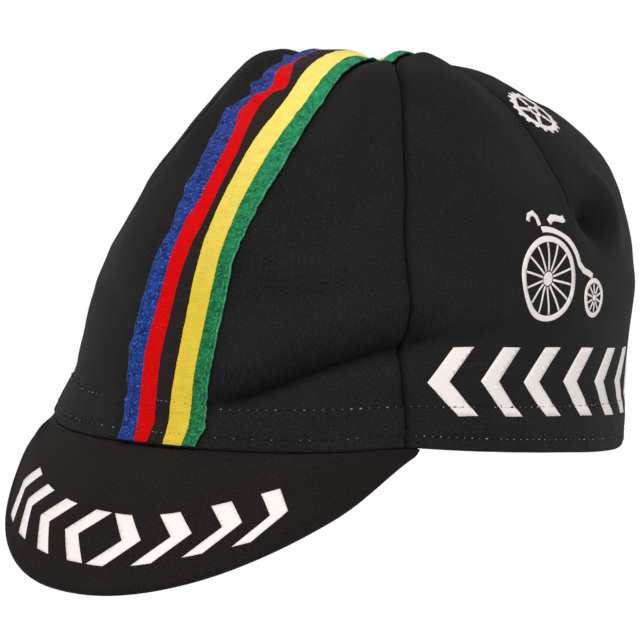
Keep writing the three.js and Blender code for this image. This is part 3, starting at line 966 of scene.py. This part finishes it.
def make_ribbon(material):
    columns, rows = 61, 640
    v, u = np.meshgrid(np.linspace(-1, 1, rows), np.linspace(0, 1, columns), indexing="ij")
    x, lift = ribbon_cloth(u, v)
    outer = ribbon_point(x, v, lift + RIBBON_CLOTH)
    inner = ribbon_point(x, v, np.maximum(lift, 0.15))
    points = np.concatenate([outer.reshape(-1, 3), inner.reshape(-1, 3)])
    grid = grid_faces(rows, columns)
    count = rows * columns
    index = np.arange(count).reshape(rows, columns)
    borders = [index[0, ::-1], index[:, 0], index[-1], index[::-1, -1]]
    walls = [np.stack([line[:-1], line[1:], line[1:] + count, line[:-1] + count], -1) for line in borders]
    faces = np.concatenate([grid, grid[:, ::-1] + count] + walls)
    length = arc_lengths(outer, 0)
    along = np.broadcast_to(length[:, columns // 2][:, None], u.shape)
    uv = np.stack([(u - 0.5) * RIBBON_WIDTH, along], -1).reshape(-1, 2)
    ribbon = new_object("striped_ribbon", points, faces, np.concatenate([uv, uv]))
    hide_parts("ribbon")
    return finish_piece(ribbon, material)


def peak_length(azimuth):
    """The share of the peak's full swell at a place on its root, and its length there."""
    share = np.maximum(1 - np.abs(azimuth / PEAK_REACH) ** PEAK_ROUNDNESS, 0)
    return share, PEAK_CORNER + (PEAK_LENGTH - PEAK_CORNER) * share


def peak_point(azimuth, along, lift=0.0):
    """A point on the peak's upper face, between 0 at the rim and 1 at its front edge."""
    azimuth, along = np.broadcast_arrays(np.asarray(azimuth, float), np.asarray(along, float))
    slope, rim = math.radians(PEAK_SLOPE), np.zeros_like(azimuth)
    forward = np.array([0.0, -math.cos(slope), -math.sin(slope)])
    root = smooth_crown(azimuth, rim)
    root[..., 2] -= PEAK_ROOT_GAP
    tangent = smooth_crown(azimuth + 0.5, rim) - smooth_crown(azimuth - 0.5, rim)
    outward = unit(np.cross(np.broadcast_to(forward, tangent.shape), tangent))
    share, length = peak_length(azimuth)
    arch = 4 * PEAK_CROWNING * np.maximum(along, 0) * (1 - along) * share
    tucked = np.minimum(along, 0)
    point = root + forward * (length * (along - tucked))[..., None] + outward * (arch + lift)[..., None]
    inward = -np.stack([outward[..., 0], outward[..., 1], rim], -1)
    point = point - unit(inward) * (PEAK_TUCK * np.maximum(tucked, -0.75))[..., None]
    point[..., 2] += PEAK_TURNED_UP * smooth(0.55, 1, -tucked)
    point[..., 2] -= PEAK_TILT * point[..., 0] * smooth(0, 0.6, along) * smooth(0, 0.35, share)
    return point


def peak_relief(azimuth, along):
    length = peak_length(azimuth)[1]
    from_edge = (1 - along) * length
    welt = 0.25 * bell((from_edge - 1.6) / 1.4) - 0.12 * bell((from_edge - 4.2) / 1.0)
    lumps = 0.16 * soft_noise(41, azimuth / 9, along * 3) + 0.07 * soft_noise(42, azimuth / 4, along * 7)
    return (welt + lumps * smooth(0, 0.15, along)) * smooth(0, 4, length - PEAK_CORNER)


def make_peak(material):
    columns, rows = 150, 64
    radius = PEAK_CLOTH / 2
    azimuths = np.linspace(-PEAK_REACH, PEAK_REACH, columns)
    outer = np.concatenate([[-1, -0.9, -0.8, -0.7, -0.6, -0.5, -0.35, -0.15], np.linspace(0, 1, rows)])
    pull = np.minimum(radius / peak_length(azimuths)[1], 0.4)
    reach = [np.where(value < 0, value, value * (1 - pull)) for value in outer]
    grid = [(along, 0.0) for along in reach]
    for angle in np.radians(np.linspace(0, 180, 12)[1:-1]):
        grid.append((1 - pull + pull * math.sin(angle), radius - radius * math.cos(angle)))
    grid += [(along, PEAK_CLOTH) for along in reach[::-1]]
    along = np.array([row[0] for row in grid])
    depth = np.array([np.full(columns, row[1]) for row in grid])
    azimuth = np.broadcast_to(azimuths, along.shape)
    points = peak_point(azimuth, along, peak_relief(azimuth, along) * (1 - depth / PEAK_CLOTH) - depth)
    across = arc_lengths(points, 1)
    across = across - across[:, columns // 2][:, None]
    peak = closed_sheet("peak_cloth", points, np.stack([across, -arc_lengths(points, 0)], -1), True)
    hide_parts("peak")
    return finish_piece(peak, material)


def hem_row(height, start, end):
    """Places along the hem at a height, a stitch pitch apart: azimuths and levels."""
    level = height * LEVEL_PER_MM
    fine = np.linspace(start, end, 2000)
    length = arc_lengths(crown(fine, np.full_like(fine, level)), 0)
    places = np.arange(STITCH_PITCH / 2, length[-1], STITCH_PITCH)
    return np.interp(places, length, fine), np.full(len(places), level)


def stitch_frame(azimuth, level, lift):
    centre = crown(azimuth, level, lift)
    along = crown(azimuth + 0.3, level, lift) - crown(azimuth - 0.3, level, lift)
    return centre, along, crown_normal(azimuth, level)


def make_hem_stitches(dark, pale, dim):
    """Two rows of dark stitches right round the hem, with specks of the pale under thread between
    them, brighter and closer together behind the side seam."""
    random = np.random.default_rng(77)
    for word, height, rare, dull in (("upper", HEM_TOP, 0.78, 0.12), ("lower", HEM_FOOT, 0.95, 0.66)):
        azimuth, level = hem_row(height, 11.5, 348.5)
        hidden = np.abs(side_angle(azimuth) - 180) < 11.5
        azimuth, level = azimuth[~hidden], level[~hidden]
        centre, along, out = stitch_frame(azimuth, level, 0.02)
        row = ellipsoids(f"hem_stitches_{word}", centre, along, out, STITCH_LENGTH, 0.40, 0.30)
        finish_piece(row, dark)
        half = 0.5 * STITCH_PITCH / mm_per_degree(azimuth, level)
        worn = np.maximum(smooth(46, 54, side_angle(azimuth)), smooth(14, 24, azimuth - 290))
        bright = random.uniform(0, 1, len(azimuth))
        shown = bright > rare + (0.45 - rare) * worn
        faint = (bright > dull + (0.10 - dull) * worn) & ~shown
        for tone, material, keep, sizes in (("bright", pale, shown, 0.16 + 0.34 * bright ** 2),
                                            ("dim", dim, faint, 0.34 + 0.10 * bright)):
            centre, along, out = stitch_frame((azimuth + half)[keep], level[keep], 0.0)
            size = sizes[keep]
            specks = ellipsoids(f"hem_specks_{word}_{tone}", centre, along, out,
                                size * 1.7, size * 0.7, 0.26)
            finish_piece(specks, material)


def make_hem_marks(pale, hole_shade):
    """Where the hem's stitches come through the ribbon: pale specks on its dark stripe and small brown
    marks of painted shade in the needle holes of the yellow one, at both ends."""
    fine = np.linspace(0.86, 0.999, 400)
    for word, material, shares, size in (
            ("pale", pale, STRIPE_BORDERS[2] + np.array([0.03, 0.07, 0.13]), (0.42, 0.22, 0.20)),
            # Painted shade: the brown marks stand for the dark of the needle holes in the yellow stripe
            ("dark", hole_shade, STRIPE_BORDERS[3] + np.array([0.05, 0.17]), (0.38, 0.34, 0.10))):
        centres, lines, outs = [], [], []
        for end in (-1, 1):
            for height in (HEM_TOP, HEM_FOOT):
                rim = ribbon_point(0.0, end * 1.0, 0.0)[2] - RIBBON_INSET
                climb = ribbon_point(np.zeros_like(fine), end * fine, 0.0)[:, 2] - rim
                along = end * np.interp(-height, -climb, fine)
                x, lift = ribbon_cloth(shares, np.full(len(shares), along))
                lift = lift + RIBBON_CLOTH
                centre = ribbon_point(x, along, lift + 0.02)
                centres.append(centre)
                lines.append(ribbon_point(x + 0.2, along, lift + 0.02) - centre)
                outs.append(ribbon_point(x, along, lift + 1.0) - centre)
        marks = ellipsoids(f"hem_marks_{word}", *map(np.concatenate, (centres, lines, outs)), *size)
        finish_piece(marks, material)


def make_ribbon_stitches(blue, green):
    """A row of matching stitches just inside each edge of the ribbon."""
    for word, share, material in (("right", 0.06, blue), ("left", 0.94, green)):
        fine = np.linspace(-0.995, 0.995, 2400)
        x, lift = ribbon_cloth(np.full_like(fine, share), fine)
        length = arc_lengths(ribbon_point(x, fine, lift), 0)
        along = np.interp(np.arange(1.0, length[-1] - 1.0, 2.3), length, fine)

        def place(shift, up):
            x, lift = ribbon_cloth(np.full_like(along, share), along + shift)
            return ribbon_point(x, along + shift, lift + RIBBON_CLOTH + up)
        centre = place(0.0, 0.02)
        line, outward = place(0.002, 0.02) - centre, place(0.0, 1.0) - centre
        row = ellipsoids(f"ribbon_stitches_{word}", centre, line, outward, 1.6, 0.42, 0.34)
        finish_piece(row, material)


def chevron(width, height, stroke):
    """A bold mark that points along +X, centred on the origin."""
    w, h = width / 2, height / 2
    return [(-w, -h), (-w + stroke, -h), (w, 0), (-w + stroke, h), (-w, h), (w - stroke, 0)]


def ring_outline(radius, count=48):
    turns = [2 * math.pi * k / count for k in range(count)]
    return [(radius * math.cos(turn), radius * math.sin(turn)) for turn in turns]


def moved(outline, dx, dy):
    return [(x + dx, y + dy) for x, y in outline]


def bar(start, end, width, taper=1.0):
    """A straight bar from one point to another, its far end narrowed by taper."""
    (x0, y0), (x1, y1) = start, end
    length = math.hypot(x1 - x0, y1 - y0)
    nx, ny = -(y1 - y0) / length * width / 2, (x1 - x0) / length * width / 2
    far = [(x1 - nx * taper, y1 - ny * taper), (x1 + nx * taper, y1 + ny * taper)]
    return [(x0 + nx, y0 + ny), (x0 - nx, y0 - ny), *far]


def spokes(x, y, inner, outer, count, start, width, taper=1.0):
    """Bars round a centre, from an inner radius to an outer one, each a shape of its own."""
    shapes = []
    for k in range(count):
        angle = 2 * math.pi * (k + start) / count
        c, s = math.cos(angle), math.sin(angle)
        shapes.append([bar((x + inner * c, y + inner * s), (x + outer * c, y + outer * s), width, taper)])
    return shapes


def curve_band(points, width):
    """A band of even width along a line of points."""
    line = np.array(points, float)
    step = np.gradient(line, axis=0)
    normal = np.stack([-step[:, 1], step[:, 0]], -1)
    normal = normal / np.linalg.norm(normal, axis=1, keepdims=True) * width / 2
    return [tuple(p) for p in line + normal] + [tuple(p) for p in (line - normal)[::-1]]


def spoked_wheel(x, y, radius, tyre, count, width):
    """A tyre, a hub and spokes, each a shape of its own."""
    hub = radius * 0.16
    rim = [moved(ring_outline(size, 80), x, y) for size in (radius, radius - tyre)]
    rods = spokes(x, y, hub + 0.35, radius - tyre - 0.25, count, 0.5, width)
    return [rim, [moved(ring_outline(hub, 28), x, y)]] + rods


def high_wheeler():
    """An old high-wheeled bicycle seen from its side, riding towards -X."""
    x, y, radius = -4.5, -5.0, 12.5
    shapes = spoked_wheel(x, y, radius, 1.8, 14, 0.62)
    shapes += spoked_wheel(18.6, -11.8, 5.7, 1.4, 10, 0.55)
    turns, round_wheel = np.radians(np.linspace(94, 14, 26)), radius + 2.0
    spine = [(x + (round_wheel + 1.0 * k / 25) * math.cos(turn), y + round_wheel * math.sin(turn))
             for k, turn in enumerate(turns)]
    spine += [(13.2, -3.6), (16.2, -4.6), (18.0, -5.6)]
    saddle = [(-0.8, 11.6), (1.4, 12.8), (4.0, 12.6), (6.4, 12.0), (8.2, 12.4)]
    handle = [(-5.9, 10.8), (-6.4, 13.2), (-7.9, 14.6), (-10.2, 14.0), (-11.0, 12.3)]
    bands = ((spine, 1.8), (saddle, 2.1), (handle, 1.6))
    return shapes + [[curve_band(line, width)] for line, width in bands]


def chainring(radius, teeth):
    """A toothed ring with five arms."""
    edge = []
    for k in range(teeth):
        for part, size in ((0.0, 1.0), (0.28, 1.0), (0.42, 0.90), (0.86, 0.90)):
            angle = 2 * math.pi * (k + part) / teeth
            edge.append((radius * size * math.cos(angle), radius * size * math.sin(angle)))
    rings = [[edge, ring_outline(radius * 0.70, 60)],
             [ring_outline(radius * 0.26, 30), ring_outline(radius * 0.12, 18)]]
    return rings + spokes(0.0, 0.0, radius * 0.30, radius * 0.67, 5, 1.25, radius * 0.17, 0.8)


def measured(place, fine, line):
    """Distances along a line of points, whose places are in fine, from one of the places."""
    length = arc_lengths(line, 0)
    return length - np.interp(place, fine, length)


def crown_place(azimuth, level, turning):
    """A map from a print's plane to the crown, centred on an azimuth and a level."""
    fine = np.linspace(azimuth - 70, azimuth + 126, 800)
    length = measured(azimuth, fine, smooth_crown(fine, np.full_like(fine, level)))
    levels = np.linspace(0, 0.9, 400)
    climb = measured(level, levels, smooth_crown(np.full_like(levels, azimuth), levels))

    def place(x, y, lift):
        return crown(turning * np.interp(x, length, fine), np.interp(y, climb, levels), lift)
    return place


def band_place(azimuth, height, turning):
    """A map from a print's plane to the crown above the hem, whose rows keep their height over the
    rim."""
    fine = np.linspace(azimuth - 70, azimuth + 126, 800)
    length = measured(azimuth, fine, smooth_crown(fine, np.full_like(fine, 0.185)))

    def place(x, y, lift):
        turned = np.interp(x, length, fine)
        drop = REAR_DROP * smooth(DIP_START, DIP_FULL, turned) + 1.2 * smooth(60, 80, turned)
        low, high = np.zeros_like(x), np.full_like(x, 0.6)
        for _ in range(30):
            level = (low + high) / 2
            above = smooth_crown(turned, level)[..., 2] > height + y - drop
            low, high = np.where(above, low, level), np.where(above, level, high)
        return crown(turning * turned, low, lift)
    return place


def peak_place(azimuth, along):
    """A map from a print's plane to the peak, whose rows keep their distance from the front edge."""
    fine = np.linspace(-PEAK_REACH, PEAK_REACH, 600)
    length = measured(azimuth, fine, peak_point(fine, np.full_like(fine, along)))

    def place(x, y, lift):
        turned = np.interp(x, length, fine)
        down = along - y / np.maximum(peak_length(turned)[1], 8) - 0.12 * smooth(4, 36, turned)
        return peak_point(turned, down, peak_relief(turned, down) + lift)
    return place


def flipped(outline):
    return [(-x, y) for x, y in outline[::-1]]


def make_prints(material):
    marks = []
    for k in range(8):
        mark = chevron(12.2, 18.5, 5.4)
        marks.append([moved(mark if k > 3 else flipped(mark), 13.4 * (k - 3.5) + 1.4, 0)])
    finish_piece(printed("peak_print", marks, peak_place(0.0, 0.66)), material)
    band = [[moved(flipped(chevron(16.6, 19.2, 7.2)), 18.6 * (k + 0.5) + 0.3, 0)] for k in range(8)]
    for turning, word in ((1, "left"), (-1, "right")):
        for kind, shapes, place in (("side", band, band_place(54, 19.6, turning)),
                                    ("wheel", high_wheeler(), crown_place(86, 0.355, turning)),
                                    ("ring", chainring(9.2, 18), crown_place(109, 0.69, turning))):
            finish_piece(printed(f"{kind}_print_{word}", shapes, place), material)


def make_floor():
    bpy.ops.mesh.primitive_plane_add(size=40, location=(0, 0, -FLOOR_DROP))
    floor = bpy.context.object
    floor.name = "floor"
    material = bpy.data.materials.new("floor")
    material.use_nodes = True
    shader = material.node_tree.nodes["Principled BSDF"]
    shader.inputs["Base Color"].default_value = (0.93, 0.93, 0.93, 1)
    shader.inputs["Roughness"].default_value = 0.9
    floor.data.materials.append(material)
    floor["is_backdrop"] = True


def aim(thing, target):
    thing.rotation_euler = (Vector(target) - thing.location).to_track_quat("-Z", "Y").to_euler()


def make_light():
    """A pale studio: soft light from above and in front, with a weaker glow from all round."""
    world = bpy.data.worlds.new("studio")
    bpy.context.scene.world = world
    world.use_nodes = True
    nodes, links = world.node_tree.nodes, world.node_tree.links
    background = nodes["Background"]
    background.inputs["Color"].default_value = (1, 1, 1, 1)
    rays = nodes.new("ShaderNodeLightPath")
    glow = nodes.new("ShaderNodeMapRange")
    glow.inputs["To Min"].default_value = 0.42
    glow.inputs["To Max"].default_value = 0.98
    links.new(rays.outputs["Is Camera Ray"], glow.inputs["Value"])
    links.new(glow.outputs["Result"], background.inputs["Strength"])
    light = bpy.data.lights.new("softbox", "SUN")
    light.energy = 2.5
    light.angle = math.radians(38)
    lamp = bpy.data.objects.new("softbox", light)
    bpy.context.scene.collection.objects.link(lamp)
    lamp.location = (0.5, -1.0, 1.9)
    aim(lamp, (0, 0.01, 0.05))
    bpy.context.scene.view_settings.view_transform = "Standard"


def make_camera():
    """The camera sees the rim's centre at its pixel in the photograph, from the photograph's side."""
    azimuth, height = math.radians(CAMERA_AZIMUTH), math.radians(CAMERA_HEIGHT_ANGLE)
    flat = math.cos(height)
    back = Vector((math.sin(azimuth) * flat, -math.cos(azimuth) * flat, math.sin(height)))
    right = Vector((math.cos(azimuth), math.sin(azimuth), 0))
    up = back.cross(right)
    roll = math.radians(CAMERA_ROLL)
    right, up = right * math.cos(roll) + up * math.sin(roll), up * math.cos(roll) - right * math.sin(roll)
    place = back * CAMERA_DISTANCE
    middle = FRAME_PIXELS / 2
    aside = (middle - RIM_CENTRE_PIXEL[0]) / PIXELS_PER_MM * MM
    above = (RIM_CENTRE_PIXEL[1] - middle) / PIXELS_PER_MM * MM
    target = right * aside + up * above
    depth = (place - target).normalized()
    right = (up.cross(depth)).normalized()
    up = depth.cross(right)
    camera = bpy.data.cameras.new("camera")
    camera.sensor_width = SENSOR
    camera.lens = SENSOR * PIXELS_PER_MM / MM * CAMERA_DISTANCE / FRAME_PIXELS
    camera.clip_end = 100
    thing = bpy.data.objects.new("camera", camera)
    bpy.context.scene.collection.objects.link(thing)
    turn = Matrix((right, up, depth)).transposed().to_4x4()
    thing.matrix_world = Matrix.Translation(place) @ turn
    bpy.context.scene.camera = thing


black_cloth = twill("black_cloth", (5, 4, 4), (37, 35, 35))
peak_material = twill("peak_twill", (6, 3, 3), (38, 30, 30))
make_panels(black_cloth)
make_ribbon(stripes("ribbon_stripes"))
make_peak(peak_material)
pale_thread = thread("pale_thread", (176, 170, 166))
make_hem_stitches(thread("black_thread", (22, 20, 20)), pale_thread, thread("dim_thread", (104, 100, 98)))
# The brown marks from this thread paint the shade of the needle holes in the yellow stripe
make_hem_marks(pale_thread, thread("hole_shade_thread", (120, 92, 30)))
make_ribbon_stitches(thread("blue_thread", (58, 86, 160)), thread("green_thread", (66, 152, 110)))
make_prints(ink("white_ink"))
make_floor()
make_light()
make_camera()

low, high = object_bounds()
{"cad": [list(corner) for corner in CAD_BOX], "visual": [list(low), list(high)]}
